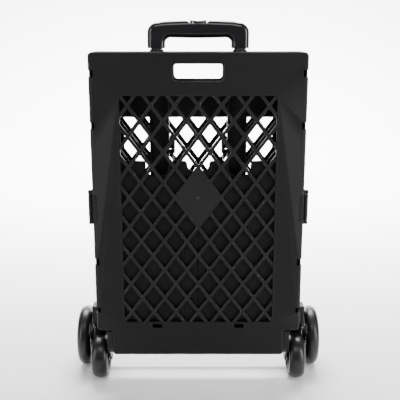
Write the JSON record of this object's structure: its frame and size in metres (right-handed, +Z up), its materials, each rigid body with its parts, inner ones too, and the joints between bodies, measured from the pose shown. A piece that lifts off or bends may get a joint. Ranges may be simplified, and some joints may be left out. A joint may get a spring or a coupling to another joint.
{
  "type": "folding shopping trolley",
  "caption": "Folding lattice-sided shopping trolley on wheels, folded flat, with book-folding side walls and a telescopic handle pushed down.",
  "frame": {"origin": "on the floor under the middle of the folded trolley's bounding box", "axes": "+Z up; -Y towards the lattice front panel, +Y towards the large rear wheels; +X to the right seen from the front, along the axles"},
  "size_m": [0.533, 0.1819, 0.7521],
  "materials": {
    "shell_plastic": "fine-grained moulded, charcoal",
    "panel_plastic": "satin moulded, charcoal",
    "housing_plastic": "satin moulded",
    "grip_plastic": "polished, blue-black",
    "button_plastic": "polished",
    "latch_plastic": "satin moulded",
    "tyre_rubber": "smooth, slightly glossy",
    "hub_plastic": "satin moulded",
    "tube_aluminium": "drawn, satin",
    "pin_steel": "plain ground"
  },
  "bodies": {
    "back": {"back_panel": "shell_plastic", "back_grille": "shell_plastic", "tube_housing_l": "housing_plastic", "tube_housing_r": "housing_plastic", "outer_tube_l": "tube_aluminium", "outer_tube_r": "tube_aluminium", "outer_collar_l": "housing_plastic", "outer_collar_r": "housing_plastic", "rear_bracket_l": "housing_plastic", "rear_bracket_r": "housing_plastic", "rear_axle": "pin_steel", "rear_hinge_pin_l": "pin_steel", "rear_hinge_pin_r": "pin_steel"},
    "handle_mid": {"mid_tube_l": "tube_aluminium", "mid_tube_r": "tube_aluminium", "mid_collar_l": "housing_plastic", "mid_collar_r": "housing_plastic"},
    "handle_top": {"inner_tube_l": "tube_aluminium", "inner_tube_r": "tube_aluminium", "inner_plug_l": "housing_plastic", "inner_plug_r": "housing_plastic", "grip_front": "grip_plastic", "grip_rear": "grip_plastic", "grip_screw_l": "pin_steel", "grip_screw_r": "pin_steel", "button_spring": "pin_steel"},
    "button": {"button": "button_plastic", "release_yoke": "pin_steel"},
    "rear_wheel_l": {"rear_wheel_tyre_l": "tyre_rubber", "rear_wheel_hub_l": "hub_plastic", "rear_wheel_cap_l": "housing_plastic"},
    "front_wheel_l": {"front_wheel_tyre_l": "tyre_rubber", "front_wheel_hub_l": "hub_plastic", "front_wheel_cap_l": "housing_plastic"},
    "side_rear_l": {"side_rear_l": "panel_plastic", "mid_hinge_pin_l": "pin_steel"},
    "side_front_l": {"side_front_l": "panel_plastic"},
    "rear_wheel_r": {"rear_wheel_tyre_r": "tyre_rubber", "rear_wheel_hub_r": "hub_plastic", "rear_wheel_cap_r": "housing_plastic"},
    "front_wheel_r": {"front_wheel_tyre_r": "tyre_rubber", "front_wheel_hub_r": "hub_plastic", "front_wheel_cap_r": "housing_plastic"},
    "side_rear_r": {"side_rear_r": "panel_plastic", "mid_hinge_pin_r": "pin_steel"},
    "side_front_r": {"side_front_r": "panel_plastic"},
    "front": {"front_panel": "shell_plastic", "front_grille": "shell_plastic", "base_panel": "panel_plastic", "base_hinge_pin": "pin_steel", "front_hinge_pin_l": "pin_steel", "front_hinge_pin_r": "pin_steel", "front_bracket_l": "housing_plastic", "front_bracket_r": "housing_plastic", "front_axle_l": "pin_steel", "front_axle_r": "pin_steel", "latch_pin_l": "pin_steel", "latch_pin_r": "pin_steel"},
    "latch_l": {"latch_l": "latch_plastic"},
    "latch_r": {"latch_r": "latch_plastic"}
  },
  "joints": [
    {"name": "fold", "type": "hinge", "parent": "back", "child": "side_rear_l", "pos_m": [-0.198, -0.0485, 0.4], "axis": [0, 0, -1], "range_deg": [0, 90]},
    {"name": "mid_left", "type": "hinge", "parent": "side_rear_l", "child": "side_front_l", "pos_m": [-0.05, -0.056, 0.4], "axis": [0, 0, 1], "range_deg": [0, 180]},
    {"name": "front_hinge", "type": "hinge", "parent": "side_front_l", "child": "front", "pos_m": [-0.198, -0.0635, 0.4], "axis": [0, 0, -1], "range_deg": [0, 90]},
    {"name": "rear_right", "type": "hinge", "parent": "back", "child": "side_rear_r", "pos_m": [0.198, -0.0485, 0.4], "axis": [0, 0, 1], "range_deg": [0, 90]},
    {"name": "mid_right", "type": "hinge", "parent": "side_rear_r", "child": "side_front_r", "pos_m": [0.05, -0.056, 0.4], "axis": [0, 0, -1], "range_deg": [0, 180]},
    {"name": "handle_mid", "type": "slide", "parent": "back", "child": "handle_mid", "axis": [0, 0, 1], "range_m": [0, 0.155]},
    {"name": "handle_top", "type": "slide", "parent": "handle_mid", "child": "handle_top", "axis": [0, 0, 1], "range_m": [0, 0.155]},
    {"name": "button", "type": "slide", "parent": "handle_top", "child": "button", "axis": [0, 0, -1], "range_m": [0, 0.0035], "stiffness_N_per_m": 400, "springref_m": -0.001, "deforming": ["button_spring"]},
    {"name": "rear_wheel_l", "type": "hinge", "parent": "back", "child": "rear_wheel_l", "pos_m": [-0.25, 0.025, 0.066], "axis": [1, 0, 0], "continuous": true},
    {"name": "front_wheel_l", "type": "hinge", "parent": "front", "child": "front_wheel_l", "pos_m": [-0.21, -0.041, 0.0468], "axis": [1, 0, 0], "continuous": true},
    {"name": "rear_wheel_r", "type": "hinge", "parent": "back", "child": "rear_wheel_r", "pos_m": [0.25, 0.025, 0.066], "axis": [1, 0, 0], "continuous": true},
    {"name": "front_wheel_r", "type": "hinge", "parent": "front", "child": "front_wheel_r", "pos_m": [0.21, -0.041, 0.0468], "axis": [1, 0, 0], "continuous": true},
    {"name": "latch_l", "type": "hinge", "parent": "front", "child": "latch_l", "pos_m": [-0.2155, -0.079, 0.389], "axis": [0, 0, 1], "range_deg": [0, 75]},
    {"name": "latch_r", "type": "hinge", "parent": "front", "child": "latch_r", "pos_m": [0.2155, -0.079, 0.389], "axis": [0, 0, -1], "range_deg": [0, 75]}
  ],
  "couplings": [
    {"joint": "mid_left", "follows": "fold", "ratio": 2},
    {"joint": "front_hinge", "follows": "fold", "ratio": 1},
    {"joint": "rear_right", "follows": "fold", "ratio": 1},
    {"joint": "mid_right", "follows": "fold", "ratio": 2}
  ]
}
